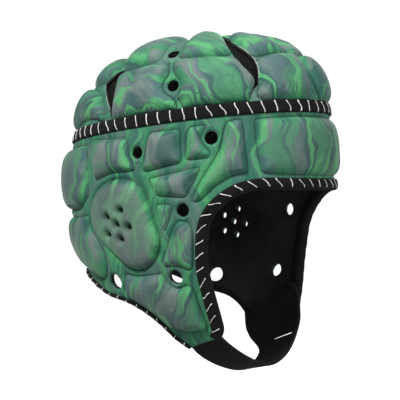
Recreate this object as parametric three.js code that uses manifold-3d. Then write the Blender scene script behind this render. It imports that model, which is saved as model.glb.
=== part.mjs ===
// A soft padded head guard for football, as worn: printed fabric over raised foam pads, a black
// lining, black tape over the crown seam and the edges, and a black chin strap.
// Millimetres, +Z up. It faces -Y, and the origin is the inside of the crown, where the head sits.
import * as THREE from 'three';
import { mergeVertices } from 'three/addons/utils/BufferGeometryUtils.js';
import Module from 'manifold-3d';

const wasm = await Module();
wasm.setup();

// Walls
const LINING_WALL = 1.6;
const LAYER_GAP = 0.6;
const SHELL_WALL = 2.2;
const WALL_STACK = LINING_WALL + LAYER_GAP + SHELL_WALL;
const WALL_COLUMNS = 36;
const CROWN_ROWS = [0, 28, 54, 78, 101];
const SIDE_ROWS = [154, 186, 216, 243, 268, 297];

// Raised pads
const PAD_GAP = 0.95;
const PAD_HEIGHT = 5.2;
const PAD_RISE = 0.9;
const PAD_SHOULDER = 2.4;
const PAD_CORNER = 5;
const PAD_SPACING = 20;
const PAD_RING = 23;

// Tapes over the crown seam and the edges
const SEAM_REACH = 124.5;
const SEAM_GAP = 0.5;
const BAND_WIDTH = 10.5;
const TAPE_WALL = 1.1;
const FACE_LEG = 5.8;
const NECK_LEG = 4;
const TAPE_GAP = 0.9;

// Holes
const VENT_RADIUS = 5.2;
const VENT_SIDES = 8;
const EAR_HOLE_RADIUS = 2.6;
const EAR_HOLE_SIDES = 5;
const EAR_HOLE_RING = 11;
const EAR_CENTRE = { turn: 103, reach: 199 };

// Chin strap: a row for each place along it from the right cheek to the left, where lean is the rise
// of its width towards the back, width its own width and splay how far that turns out
const STRAP_COLUMNS = ['x', 'y', 'z', 'lean', 'width', 'splay'];
const STRAP_ROWS = [
  [-52, -30, -192, -0.25, 22, 0],
  [-46.5, -30, -206, -0.28, 24, 0],
  [-38.5, -32, -220.5, -0.3, 27, 0],
  [-22, -42, -234, -0.33, 24, 0],
  [2, -48.5, -240.8, -0.2, 22, 0],
  [22, -49, -236, -0.12, 24, 0.03],
  [33, -48, -227.5, -0.22, 32, 0.08],
  [39.4, -44, -216, -0.26, 46, 0.09],
  [45, -39.5, -204.5, -0.2, 58, 0.11],
  [51, -36, -193, -0.15, 62, 0.12],
];
const STRAP_WALL = 2.4;
const STRAP_STEPS = 20;
const SLOT_LENGTH = 19;
const SLOT_WIDTH = 2.4;
const SLOT_PLACE = 0.72;
const SLOT_SHIFT = -6;

const GREEN = 0x5f9873;
const BLACK = 0x17181a;

// Sections of the shell's outer face, a row for each level down from the crown: reach is the way
// down over the surface, drop the height lost, front, back and side the half sizes, tilt the rise
// towards the face for each millimetre forward, and square how boxy the section is (2 is an oval).
const SECTION_COLUMNS = ['reach', 'drop', 'front', 'back', 'side', 'tilt', 'square'];
const SECTION_ROWS = [
  [0, 0, 0, 0, 0, 0.11, 2],
  [25, 1.5, 25.5, 25.5, 24, 0.11, 2],
  [50, 7.5, 51, 51, 45, 0.11, 2],
  [75, 19, 76, 76, 61, 0.11, 2],
  [95, 34.5, 93, 93, 72, 0.11, 2],
  [122, 61, 102, 102, 78, 0.11, 2.05],
  [150, 89, 105, 107, 80, 0.07, 2.15],
  [180, 119, 106, 104, 80, 0.03, 2.25],
  [210, 149, 106, 96, 78, 0, 2.3],
  [240, 179, 104, 84, 72.5, 0, 2.3],
  [270, 209, 98, 72, 61, 0, 2.3],
  [300, 239, 88, 60, 44, 0, 2.3],
];

// Places on the head are [turn, reach]: degrees round from the face to the wearer's right, and the
// way down over the surface from the crown. What is on the right is mirrored on the left.
const FACE_EDGE = [
  [0, 176], [16, 176], [28, 175.5], [36, 177], [42, 180.5], [47, 186], [51, 193],
  [53.5, 202], [54.2, 214], [54, 228], [52.5, 240], [49.5, 255], [46.2, 269], [44.4, 277], [45.3, 282],
];
const NECK_EDGE = [
  [63, 290], [74, 282.5], [83, 273], [94, 263.5], [106, 256.5], [121, 252], [130, 247],
  [142, 240], [160, 234], [180, 231.5],
];
const VENTS = [[76, 68], [71, 102], [90, 147], [50, 142], [64, 190], [69, 238], [111, 242]];
const SLITS = {
  front: [
    [33, 114], [29, 109], [28.3, 103], [27.6, 95], [27.4, 87], [28.8, 79], [31, 70], [32, 60], [29, 45],
    [22, 32], [34, 46], [37.2, 60], [38, 71], [37.2, 83], [34.6, 93], [32.6, 100], [31.6, 107],
  ],
  rear: [
    [110.5, 118], [113.5, 110.5], [117, 104.5], [122, 95.5], [126.5, 89], [121.5, 79.5], [114, 79],
    [112, 84], [113.5, 88], [111.8, 95], [111, 103],
  ],
};

// Outlines of the pads on the wearer's right; centre is where a crooked pad is spread from
const SIDE_PADS = [
  { name: 'temple', centre: [44, 160], outline: [
    [43.5, 133], [38, 132], [37, 152], [36, 165.5], [43, 167], [49.5, 173], [56.5, 183],
    [59.5, 184], [55.5, 171.5], [49.5, 158], [46, 149], [45, 141]] },
  { name: 'brow_side', outline: [
    [61.5, 135], [53.5, 135], [55.5, 141], [55, 147], [51.5, 151.5], [53, 155], [61, 156]] },
  { name: 'side_upper', outline: [
    [84, 137], [66.5, 135.5], [66, 155], [86, 159.5], [86.5, 155], [84.5, 150], [84, 143]] },
  { name: 'over_ear', centre: [108, 149], outline: [
    [121.5, 135], [98, 136], [97, 148], [95.5, 155.5], [94, 159], [102, 158.5], [109, 160],
    [115, 164.5], [118, 164.5], [120, 149]] },
  { name: 'ear_front', outline: [[81.5, 167], [58.5, 161.5], [63.5, 179], [77.5, 178]] },
  { name: 'dart', outline: [[79, 184], [70.5, 184.5], [70.5, 193], [74, 204], [77.5, 198]] },
  { name: 'ear', rise: 0.6, centre: [102, 198], outline: [
    [100, 165.5], [89, 169.5], [83.5, 177], [82.5, 190], [80, 203], [78.5, 214], [80, 224],
    [86, 230.5], [93, 232.5], [99, 230], [108, 219], [115.5, 211], [120.5, 203], [121.8, 192],
    [119, 178], [112, 168.5]] },
  { name: 'cheek_front', outline: [
    [66.5, 197.5], [61.5, 199], [60.5, 209], [60.5, 231], [64, 228.5], [70, 229.5], [75.5, 229],
    [71.5, 214]] },
  { name: 'jaw', centre: [76, 259], outline: [
    [102, 239], [80, 238], [77.5, 242], [73.5, 247], [69, 249], [64, 247], [60.5, 242], [58, 251],
    [55.5, 262], [53, 274], [63, 275], [73.5, 273], [84.5, 264], [94, 255.5], [104, 249.5]] },
  { name: 'rear_upper', outline: [
    [126, 136], [123, 153], [122.8, 175.5], [133, 187], [150, 187], [177, 186], [177, 138],
    [150, 136]] },
  { name: 'rear_lower', centre: [142, 212], outline: [
    [127, 192.5], [135, 195], [152, 194], [177, 193], [177, 221], [155, 226], [138, 232],
    [127, 239], [119, 241], [115.5, 232], [116.5, 222], [120.5, 213], [125.5, 203]] },
];
const FOREHEAD_PAD = { name: 'forehead', outline: [
  [0, 132], [10, 132], [20, 132.4], [29.5, 133], [30, 150], [28.5, 166], [19, 167], [9, 167.3],
  [0, 167.3]] };
const CROWN_PADS = [
  { name: 'crown_front_low', outline: [
    [23, 88], [12, 83.5], [2.5, 85.5], [2.5, 112], [6, 116], [16, 116.5], [26, 116], [26.5, 110],
    [25, 101]] },
  { name: 'crown_front_top', outline: [
    [28, 72], [29.5, 60], [26, 48], [18, 36], [8, 32], [3.5, 40], [3, 79.5], [12, 79],
    [22, 82.5], [26, 81.5]] },
  { name: 'crown_side_front', outline: [
    [69, 86], [54, 85], [39, 88], [36, 99], [34.5, 107], [37, 114], [49, 114.5], [63.5, 113.5],
    [66, 108], [65, 102], [67, 96]] },
  { name: 'crown_side_rear', outline: [
    [108, 114], [107, 101], [105.5, 90], [89, 83], [79, 82.5], [75, 88], [75.5, 96], [77.5, 101.5],
    [75.5, 108], [70.5, 114.5], [83, 116], [96, 116]] },
  { name: 'crown_top_front', centre: [56, 50], outline: [
    [70.5, 76.5], [68.5, 64], [70, 40], [71, 22], [55, 9], [26, 12], [36.5, 28], [40, 46],
    [41, 66], [40, 80], [53, 78]] },
  { name: 'crown_top_rear', centre: [112, 44], outline: [
    [107, 78], [118, 71.5], [131, 56], [150, 47], [173, 44], [168, 20], [140, 9], [105, 9],
    [90, 24], [86, 48], [83.5, 67], [91, 75]] },
  { name: 'crown_rear_low', outline: [
    [117, 116], [122, 103], [139, 91], [160, 90], [177, 90], [177.5, 115], [150, 116]] },
  { name: 'crown_rear_top', outline: [
    [131.5, 86], [129.5, 74], [138, 62], [155, 54], [175, 52], [176, 70], [177, 86], [150, 86]] },
];

const radians = THREE.MathUtils.degToRad;
const byColumn = (row) => Object.fromEntries(SECTION_COLUMNS.map((key, i) => [key, row[i]]));

// Sections either side of the crown mirror each other, and the last two carry on in a line
const SECTIONS = SECTION_ROWS.map(byColumn);
const [, FIRST] = SECTIONS;
const [LAST_BUT_ONE, LAST] = SECTIONS.slice(-2);
const FLIPPED = ['reach', 'front', 'back', 'side'];
const beforeCrown = byColumn(
  SECTION_COLUMNS.map((key) => (FLIPPED.includes(key) ? -FIRST[key] : FIRST[key])));
const pastRim = byColumn(SECTION_COLUMNS.map((key) => 2 * LAST[key] - LAST_BUT_ONE[key]));
const KNOTS = [beforeCrown, ...SECTIONS, pastRim];

// A smooth curve through the section rows
function sectionAt(reach) {
  let i = 1;
  while (i < KNOTS.length - 3 && reach > KNOTS[i + 1].reach) {
    i += 1;
  }
  const [a, b, c, d] = KNOTS.slice(i - 1, i + 3);
  const span = c.reach - b.reach;
  const t = (reach - b.reach) / span;
  const blend = (key) => {
    const leave = (span * (c[key] - a[key])) / (c.reach - a.reach);
    const arrive = (span * (d[key] - b[key])) / (d.reach - b.reach);
    return b[key] * (2 * t ** 3 - 3 * t ** 2 + 1) + leave * (t ** 3 - 2 * t ** 2 + t)
      + c[key] * (3 * t ** 2 - 2 * t ** 3) + arrive * (t ** 3 - t ** 2);
  };
  return byColumn(SECTION_COLUMNS.map(blend));
}

// The flat plan: the outer face spread out round the crown, as [across, along]
const plan = ([turn, reach]) => [
  -reach * Math.sin(radians(turn)), -reach * Math.cos(radians(turn))];

// A point of the shell's outer face from its place on the plan
function facePoint(across, along) {
  const reach = Math.hypot(across, along);
  const section = sectionAt(reach);
  if (reach < 1e-9) {
    return new THREE.Vector3(0, 0, WALL_STACK - section.drop);
  }
  const half = along < 0 ? section.front : section.back;
  const power = section.square;
  const size = (Math.abs(across / reach / section.side) ** power
    + Math.abs(along / reach / half) ** power) ** (-1 / power);
  const y = (size * along) / reach;
  return new THREE.Vector3((size * across) / reach, y, WALL_STACK - section.drop - section.tilt * y);
}

// How the outer face runs for a millimetre across and a millimetre along the plan
function faceSlopes(across, along) {
  const step = 0.5;
  return [
    facePoint(across + step, along).sub(facePoint(across - step, along)),
    facePoint(across, along + step).sub(facePoint(across, along - step))];
}

function faceNormal(across, along) {
  const [u, v] = faceSlopes(across, along);
  return u.cross(v).normalize();
}

// The place on the plan a short step over the outer face away
function stepped([across, along], step) {
  const [u, v] = faceSlopes(across, along);
  const spread = u.lengthSq() * v.lengthSq() - u.dot(v) ** 2;
  return [
    across + (u.dot(step) * v.lengthSq() - v.dot(step) * u.dot(v)) / spread,
    along + (v.dot(step) * u.lengthSq() - u.dot(step) * u.dot(v)) / spread];
}

// The place at a height above the outer face, or below it where lift is negative
const onHead = ([across, along], lift) => facePoint(across, along)
  .addScaledVector(faceNormal(across, along), lift);

// Surface length of one degree of turn
function degreeLength([turn, reach]) {
  const left = facePoint(...plan([turn - 0.5, reach]));
  return left.distanceTo(facePoint(...plan([turn + 0.5, reach])));
}

// A closed mesh from triangles of points
function meshFrom(triangles) {
  const geometry = new THREE.BufferGeometry();
  const values = triangles.flat().flatMap((point) => [point.x, point.y, point.z]);
  geometry.setAttribute('position', new THREE.Float32BufferAttribute(values, 3));
  return welded(geometry);
}

// Equal points made one, empty triangles dropped and the faces turned outwards
function welded(source) {
  source.deleteAttribute('normal');
  source.deleteAttribute('uv');
  const geometry = mergeVertices(source, 1e-4);
  const old = geometry.index.array;
  const point = (i) => new THREE.Vector3().fromBufferAttribute(geometry.attributes.position, i);
  let kept = [];
  let volume = 0;
  for (let i = 0; i < old.length; i += 3) {
    const [a, b, c] = old.slice(i, i + 3);
    if (a !== b && b !== c && c !== a) {
      kept.push([a, b, c]);
      volume += point(a).dot(point(b).cross(point(c)));
    }
  }
  if (volume < 0) {
    kept = kept.map(([a, b, c]) => [a, c, b]);
  }
  geometry.setIndex(kept.flat());
  return geometry;
}

function solid(source) {
  const geometry = welded(source);
  return new wasm.Manifold(new wasm.Mesh({
    numProp: 3,
    vertProperties: new Float32Array(geometry.attributes.position.array),
    triVerts: new Uint32Array(geometry.index.array),
  }));
}

function geometryOf(manifold) {
  const { vertProperties, triVerts } = manifold.getMesh();
  const geometry = new THREE.BufferGeometry();
  geometry.setAttribute('position', new THREE.Float32BufferAttribute(vertProperties, 3));
  geometry.setIndex([...triVerts]);
  return geometry;
}

const turnedOver = (triangles) => triangles.map(([a, b, c]) => [a, c, b]);

// A strip from rings of points, one ring a section, open at both ends unless it joins up
function strip(rings, joined) {
  const triangles = [];
  const last = joined ? rings.length : rings.length - 1;
  for (let i = 0; i < last; i += 1) {
    const here = rings[i];
    const next = rings[(i + 1) % rings.length];
    here.forEach((point, j) => {
      const k = (j + 1) % here.length;
      triangles.push([point, next[j], next[k]], [point, next[k], here[k]]);
    });
  }
  return triangles;
}

const mirrored = (geometry) => welded(geometry.clone().scale(-1, 1, 1));
const mirroredPlaces = (places) => places.map(([turn, reach]) => [-turn, reach]);
const bothSides = (places) => [...places, ...mirroredPlaces(places)];

// Walls are cut flat from a blank that bows a little, then formed over the head
const bow = (reach) => reach ** 2 / 1800;

function wallBlank(reaches, low, high) {
  const ring = (reach, lift) => Array.from({ length: WALL_COLUMNS }, (_, i) => {
    const [across, along] = plan([(360 * i) / WALL_COLUMNS, reach]);
    return new THREE.Vector3(across, along, lift + bow(reach));
  });
  const face = (lift) => strip(reaches.map((reach) => ring(reach, lift)), false);
  const start = reaches[0];
  const end = reaches.at(-1);
  return solid(meshFrom([
    ...face(high),
    ...turnedOver(face(low)),
    ...strip([ring(start, low), ring(start, high)], false),
    ...strip([ring(end, high), ring(end, low)], false),
  ]));
}

function cutter(places) {
  const shape = new THREE.Shape(places.map((place) => new THREE.Vector2(...plan(place))));
  const options = { depth: 120, bevelEnabled: false };
  return solid(new THREE.ExtrudeGeometry(shape, options).translate(0, 0, -20));
}

function roundHole([turn, reach], radius, sides) {
  const perDegree = degreeLength([turn, reach]);
  return Array.from({ length: sides }, (_, i) => {
    const angle = (2 * Math.PI * i) / sides;
    return [turn + (radius * Math.cos(angle)) / perDegree, reach + radius * Math.sin(angle)];
  });
}

function formed(manifold) {
  const geometry = geometryOf(manifold);
  const places = geometry.attributes.position;
  for (let i = 0; i < places.count; i += 1) {
    const across = places.getX(i);
    const along = places.getY(i);
    const lift = places.getZ(i) - bow(Math.hypot(across, along));
    places.setXYZ(i, ...onHead([across, along], lift));
  }
  return welded(geometry);
}

// Edges, smooth through their rows
function smooth(rows, count) {
  const curve = new THREE.SplineCurve(rows.map((row) => new THREE.Vector2(...row)));
  return curve.getSpacedPoints(count).map(({ x, y }) => [x, y]);
}
const faceEdge = smooth(FACE_EDGE, 16);
const neckEdge = smooth(NECK_EDGE, 10);
const rightEdge = [...faceEdge, ...neckEdge];
const wholeEdge = [...rightEdge, ...mirroredPlaces(rightEdge).slice(1, -1).reverse()];

// The ear holes: one in the middle and five round it, one of them pointing at the face
const earPerDegree = degreeLength([EAR_CENTRE.turn, EAR_CENTRE.reach]);
const earHoles = [[EAR_CENTRE.turn, EAR_CENTRE.reach]];
for (let i = 0; i < 5; i += 1) {
  const angle = (2 * Math.PI * i) / 5;
  earHoles.push([
    EAR_CENTRE.turn - (EAR_HOLE_RING * Math.cos(angle)) / earPerDegree,
    EAR_CENTRE.reach + EAR_HOLE_RING * Math.sin(angle)]);
}

const ventCutters = bothSides(VENTS).map((v) => cutter(roundHole(v, VENT_RADIUS, VENT_SIDES)));
const earCutters = bothSides(earHoles).map(
  (hole) => cutter(roundHole(hole, EAR_HOLE_RADIUS, EAR_HOLE_SIDES)));
const slitCutters = Object.values(SLITS).flatMap(
  (slit) => [cutter(slit), cutter(mirroredPlaces(slit))]);
const insideEdge = cutter(wholeEdge);

function cutAll(blank, cutters) {
  return cutters.reduce((left, tool) => left.subtract(tool), blank);
}

const lining = cutAll(
  wallBlank([...CROWN_ROWS, SEAM_REACH, ...SIDE_ROWS], -WALL_STACK, LINING_WALL - WALL_STACK)
    .intersect(insideEdge),
  [...ventCutters, ...earCutters]);
const crownShell = cutAll(
  wallBlank([...CROWN_ROWS, SEAM_REACH - SEAM_GAP / 2], -SHELL_WALL, 0),
  [...ventCutters, ...slitCutters]);
const sideShell = cutAll(
  wallBlank([SEAM_REACH + SEAM_GAP / 2, ...SIDE_ROWS], -SHELL_WALL, 0)
    .intersect(insideEdge),
  [...ventCutters, ...earCutters]);

// The band over the seam, standing on the shells
const bandRings = Array.from({ length: WALL_COLUMNS }, (_, i) => {
  const turn = (360 * i) / WALL_COLUMNS;
  const corner = (side, lift) => onHead(plan([turn, SEAM_REACH + (side * BAND_WIDTH) / 2]), lift);
  const low = PAD_GAP - 0.1;
  const high = low + TAPE_WALL;
  return [corner(-1, low), corner(1, low), corner(1, high), corner(-1, high)];
});
const crownBand = meshFrom(strip(bandRings, true));

// An edge tape is a channel: a leg outside, a leg inside and a web past the edge
function binding(places, leg) {
  const path = places.map((place) => plan(place));
  const points = path.map((place) => onHead(place, 0));
  const top = TAPE_GAP;
  const bottom = -WALL_STACK - TAPE_GAP;
  const out = TAPE_GAP;
  const section = [
    [-leg, top + TAPE_WALL], [out + TAPE_WALL, top + TAPE_WALL],
    [out + TAPE_WALL, bottom - TAPE_WALL], [-leg, bottom - TAPE_WALL],
    [-leg, bottom], [out, bottom], [out, top], [-leg, top]];
  const rings = path.map((place, i) => {
    const before = points[Math.max(i - 1, 0)];
    const after = points[Math.min(i + 1, points.length - 1)];
    const normal = faceNormal(...place);
    const along = after.clone().sub(before).normalize();
    const outward = new THREE.Vector3().crossVectors(normal, along).normalize();
    return section.map(
      ([side, lift]) => onHead(stepped(place, outward.clone().multiplyScalar(side)), lift));
  });
  const cap = (ring) => [[0, 1, 6], [0, 6, 7], [1, 2, 5], [1, 5, 6], [2, 3, 4], [2, 4, 5]]
    .map((corners) => corners.map((corner) => ring[corner]));
  return meshFrom([...strip(rings, false), ...cap(rings[0]), ...turnedOver(cap(rings.at(-1)))]);
}
const browRound = [...mirroredPlaces(faceEdge).slice(1).reverse(), ...faceEdge];
const napeRound = [...neckEdge, ...mirroredPlaces(neckEdge).slice(0, -1).reverse()];
const faceBinding = binding(browRound, FACE_LEG);
const neckBinding = binding(napeRound, NECK_LEG);

// Pads: outlines are rounded and spread in the flat, crown pads on the plan and side pads rolled out
const ROLL = 1.7;
const rolled = {
  flat: ([turn, reach]) => new THREE.Vector2(turn * ROLL, reach),
  plan: (point) => plan([point.x / ROLL, point.y]),
};
const spread = {
  flat: (place) => new THREE.Vector2(...plan(place)),
  plan: (point) => [point.x, point.y],
};

function roundedOutline(corners) {
  const count = corners.length;
  const turned = corners.flatMap((corner, i) => {
    const before = corners[(i + count - 1) % count];
    const after = corners[(i + 1) % count];
    const back = before.clone().sub(corner);
    const on = after.clone().sub(corner);
    const bend = 180 - THREE.MathUtils.radToDeg(back.angleTo(on));
    if (bend < 38) {
      return [corner];
    }
    const cut = (way) => way.clone().setLength(Math.min(PAD_CORNER, 0.4 * way.length())).add(corner);
    const start = cut(back);
    const end = cut(on);
    return [start, end];
  });
  return turned.flatMap((point, i) => {
    const next = turned[(i + 1) % turned.length];
    const steps = Math.max(1, Math.ceil(point.distanceTo(next) / PAD_SPACING));
    return Array.from({ length: steps }, (_, k) => point.clone().lerp(next, k / steps));
  });
}

function padMesh({ outline, centre, rise = PAD_RISE }, flatten) {
  const edge = roundedOutline(outline.map(flatten.flat));
  const middle = centre ? flatten.flat(centre) : new THREE.Vector2();
  if (!centre) {
    edge.forEach((point) => middle.addScaledVector(point, 1 / edge.length));
  }
  const radii = edge.map((point) => point.distanceTo(middle));
  const radius = radii.reduce((sum, size) => sum + size, 0) / radii.length;
  const ring = (scale, lift) => edge.map(
    (point) => onHead(flatten.plan(middle.clone().lerp(point, scale)), lift));
  const hub = (lift) => onHead(flatten.plan(middle), lift);
  const shoulder = 1 - PAD_SHOULDER / radius;
  const size = Math.max(...radii) / PAD_RING;
  const gap = PAD_GAP * (0.4 + 0.6 * Math.min(size, 1));
  const steps = Array.from({ length: Math.ceil(size) - 1 }, (_, k) => k + 1);
  const share = (k) => k / (steps.length + 1);
  const rings = [
    ...steps.map((k) => ring(share(k), gap)),
    ring(1, gap),
    ring(shoulder, PAD_HEIGHT),
  ];
  if (steps.length > 1) {
    rings.push(ring(0.5 * shoulder, PAD_HEIGHT + 0.75 * rise));
  }
  const fan = (loop, tip) => loop.map((point, i) => [point, loop[(i + 1) % loop.length], tip]);
  const foot = fan(rings[0], hub(gap));
  const top = turnedOver(fan(rings.at(-1), hub(PAD_HEIGHT + rise)));
  return meshFrom([...foot, ...strip(rings, false), ...top]);
}

// Ear holes through a formed ear pad
function earPad(geometry) {
  const bores = earHoles.map((hole) => {
    const bore = new THREE.CylinderGeometry(
      EAR_HOLE_RADIUS, EAR_HOLE_RADIUS, 30, EAR_HOLE_SIDES, 1).rotateX(Math.PI / 2);
    const place = plan(hole);
    const aim = new THREE.Quaternion().setFromUnitVectors(
      new THREE.Vector3(0, 0, 1), faceNormal(...place));
    return solid(bore.applyQuaternion(aim).translate(...onHead(place, 0)));
  });
  return geometryOf(cutAll(solid(geometry), bores));
}

// The chin strap: from inside one cheek, out past its tip, under the chin and back in at the other
const strapRows = STRAP_ROWS.map(([x, y, z, lean, width, splay]) => ({
  at: new THREE.Vector3(x, y, z), shape: new THREE.Vector3(lean, width, splay) }));
const strapPath = new THREE.CatmullRomCurve3(strapRows.map(({ at }) => at));
const strapShape = new THREE.CatmullRomCurve3(strapRows.map(({ shape }) => shape));

function strapFrame(t) {
  const at = strapPath.getPoint(t);
  const along = strapPath.getTangent(t);
  const { x: lean, y: width, z: splay } = strapShape.getPoint(t);
  const across = new THREE.Vector3(splay, 1, lean);
  across.addScaledVector(along, -across.dot(along)).normalize();
  return { at, along, across, up: new THREE.Vector3().crossVectors(along, across), width };
}
const strapRings = Array.from({ length: STRAP_STEPS + 1 }, (_, i) => {
  const { at, across, up, width } = strapFrame(i / STRAP_STEPS);
  const corner = (side, lift) => at.clone()
    .addScaledVector(across, (side * width) / 2).addScaledVector(up, (lift * STRAP_WALL) / 2);
  return [corner(-1, -1), corner(1, -1), corner(1, 1), corner(-1, 1)];
});
const strapEnd = ([a, b, c, d]) => [[a, b, c], [a, c, d]];
const strapBody = meshFrom([
  ...strapEnd(strapRings[0]),
  ...strip(strapRings, false),
  ...turnedOver(strapEnd(strapRings.at(-1))),
]);
const slotFrame = strapFrame(SLOT_PLACE);
const slotBlock = new THREE.BoxGeometry(SLOT_WIDTH, SLOT_LENGTH, 20).translate(0, SLOT_SHIFT, 0)
  .applyMatrix4(new THREE.Matrix4()
    .makeBasis(slotFrame.along, slotFrame.across, slotFrame.up).setPosition(slotFrame.at));
const chinStrap = geometryOf(solid(strapBody).subtract(solid(slotBlock)));

// Assembly
const guard = new THREE.Group();
guard.name = 'padded_head_guard';

function add(name, geometry, colour, roughness) {
  const material = new THREE.MeshStandardMaterial({ color: colour, roughness, metalness: 0 });
  const mesh = new THREE.Mesh(geometry, material);
  mesh.name = name;
  guard.add(mesh);
}

add('lining', formed(lining), BLACK, 0.9);
add('crown_shell', formed(crownShell), GREEN, 0.75);
add('side_shell', formed(sideShell), GREEN, 0.75);
add('crown_band', crownBand, BLACK, 0.85);
add('face_binding', faceBinding, BLACK, 0.85);
add('neck_binding', neckBinding, BLACK, 0.85);
add('chin_strap', chinStrap, BLACK, 0.9);

const { name: foreheadName, outline: foreheadRight } = FOREHEAD_PAD;
const foreheadLeft = mirroredPlaces(foreheadRight).slice(1, -1).reverse();
const forehead = padMesh({ outline: [...foreheadRight, ...foreheadLeft] }, rolled);
add(`pad_${foreheadName}`, forehead, GREEN, 0.75);

function addPair(pad, flatten) {
  const plain = padMesh(pad, flatten);
  const right = pad.name === 'ear' ? earPad(plain) : plain;
  add(`pad_${pad.name}_right`, right, GREEN, 0.75);
  add(`pad_${pad.name}_left`, mirrored(right), GREEN, 0.75);
}
SIDE_PADS.forEach((pad) => addPair(pad, rolled));
CROWN_PADS.forEach((pad) => addPair(pad, spread));

export default guard;
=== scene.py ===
import math
import random
from collections import namedtuple

import bmesh
import bpy
import numpy as np
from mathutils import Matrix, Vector, geometry, kdtree, noise


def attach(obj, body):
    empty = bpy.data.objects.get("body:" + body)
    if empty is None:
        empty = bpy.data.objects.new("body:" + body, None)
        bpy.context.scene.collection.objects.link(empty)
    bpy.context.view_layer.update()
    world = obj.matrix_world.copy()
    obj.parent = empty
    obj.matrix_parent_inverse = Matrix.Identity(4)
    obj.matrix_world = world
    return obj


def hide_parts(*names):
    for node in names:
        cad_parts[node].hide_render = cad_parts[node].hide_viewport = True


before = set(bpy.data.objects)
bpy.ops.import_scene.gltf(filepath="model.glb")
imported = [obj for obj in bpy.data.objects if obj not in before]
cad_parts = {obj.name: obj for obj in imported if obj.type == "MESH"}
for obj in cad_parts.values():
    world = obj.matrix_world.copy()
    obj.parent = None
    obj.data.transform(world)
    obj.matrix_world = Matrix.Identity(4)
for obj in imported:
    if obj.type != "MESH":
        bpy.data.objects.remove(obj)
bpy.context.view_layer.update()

# The view: a level camera in front of the wearer's right cheek, with a long lens, and a white floor
# under soft lamps. None of it is part of the head guard.
VIEW_TURN = math.radians(56)
VIEW_LEVEL = -0.1164
VIEW_DISTANCE = 1.3
VIEW_LENS = 153.3
WHITE = (1, 1, 1, 1)
FLOOR_LEVEL = -0.34
FLOOR_RADIUS = 9
FLOOR_TONE = (0.35, 0.35, 0.35, 1)
ROOM_LIGHT = 0.12
ROOM_SEEN = 1.05
LAMPS = [
    # name, towards the camera, to its right, height, size, watts
    ("key lamp", 0.95, -0.75, 1.1, 0.4, 29),
    ("fill lamp", 1.0, 1.3, 0.7, 0.6, 16),
    ("top lamp", 0.1, 0.1, 1.3, 0.9, 5),
    ("back lamp", -1.3, 0.5, 0.6, 1.2, 6),
]

toward = Vector((-math.sin(VIEW_TURN), -math.cos(VIEW_TURN), 0))
right = Vector((math.cos(VIEW_TURN), -math.sin(VIEW_TURN), 0))
scene = bpy.context.scene
camera = bpy.data.objects.new("view", bpy.data.cameras.new("view"))
camera.data.sensor_width = 36
camera.data.lens = VIEW_LENS
camera.location = toward * VIEW_DISTANCE + Vector((0, 0, VIEW_LEVEL))
camera.rotation_euler = (math.pi / 2, 0, -VIEW_TURN)
scene.collection.objects.link(camera)
scene.camera = camera
scene.view_settings.view_transform = "Standard"

for lamp_name, near, aside, height, size, watts in LAMPS:
    lamp = bpy.data.objects.new(lamp_name, bpy.data.lights.new(lamp_name, "AREA"))
    lamp.data.shape = "DISK"
    lamp.data.size = size
    lamp.data.energy = watts
    lamp.location = toward * near + right * aside + Vector((0, 0, VIEW_LEVEL + height))
    aim = Vector((0, 0, VIEW_LEVEL)) - lamp.location
    lamp.rotation_euler = aim.to_track_quat("-Z", "Y").to_euler()
    scene.collection.objects.link(lamp)


def settle(made, *values, **settings):
    """A node's settings and its inputs, by number or name: each is set, or linked from a socket."""
    for key, value in [*enumerate(values), *settings.items()]:
        if isinstance(key, str) and key[0].islower():
            setattr(made, key, value)
            continue
        socket = made.inputs[key.replace("_", " ") if isinstance(key, str) else key]
        if isinstance(value, bpy.types.NodeSocket):
            made.id_data.links.new(value, socket)
        else:
            socket.default_value = value
    return made


def node(tree, kind, *values, **settings):
    """A new node of a tree, settled."""
    return settle(tree.nodes.new(kind), *values, **settings)


def spread(tree, value, low=0.0, high=1.0, bottom=0.0, top=1.0, kind="LINEAR"):
    """A value drawn from one range to another, and held at both ends."""
    made = node(tree, "ShaderNodeMapRange", interpolation_type=kind, Value=value,
                From_Min=low, From_Max=high, To_Min=bottom, To_Max=top)
    return made.outputs["Result"]


scene.world = bpy.data.worlds.new("white room")
scene.world.use_nodes = True
room_tree = scene.world.node_tree
room_sight = node(room_tree, "ShaderNodeLightPath")
room_level = spread(room_tree, room_sight.outputs["Is Camera Ray"], bottom=ROOM_LIGHT, top=ROOM_SEEN)
settle(room_tree.nodes["Background"], Color=WHITE, Strength=room_level)


def piece(name, mesh_maker, materials):
    """An object from its mesh, shaded smooth, with its materials."""
    mesh = bpy.data.meshes.new(name)
    mesh_maker.to_mesh(mesh)
    mesh_maker.free()
    mesh.shade_smooth()
    for material in materials:
        mesh.materials.append(material)
    made = bpy.data.objects.new(name, mesh)
    scene.collection.objects.link(made)
    return made


def painted(name):
    """A new material, with its node tree and its shader."""
    made = bpy.data.materials.new(name)
    made.use_nodes = True
    return made, made.node_tree, made.node_tree.nodes["Principled BSDF"]


floor_paint, floor_tree, floor_shader = painted("white floor")
floor_sight = node(floor_tree, "ShaderNodeLightPath")
settle(floor_shader, Base_Color=FLOOR_TONE, Roughness=0.9, Emission_Color=WHITE,
       Emission_Strength=floor_sight.outputs["Is Camera Ray"])
bm = bmesh.new()
bmesh.ops.create_circle(bm, cap_ends=True, segments=96, radius=FLOOR_RADIUS)
bmesh.ops.translate(bm, verts=bm.verts, vec=(0, 0, FLOOR_LEVEL))
piece("floor", bm, [floor_paint])


# The lining: a black knit wall over the whole inside, 1.6 mm thick, cut flat, sewn up and formed over
# the head, with vents and ear holes punched through it. It shows inside the face opening.
MM = 0.001
CLOTH_MAP = 100
# How finely curves and outlines are followed: parts of a curve, parts of a stretch, and millimetres
CURVE_PARTS = 16
STRETCH_PARTS = 12
OUTLINE_STEP = 0.5
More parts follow.
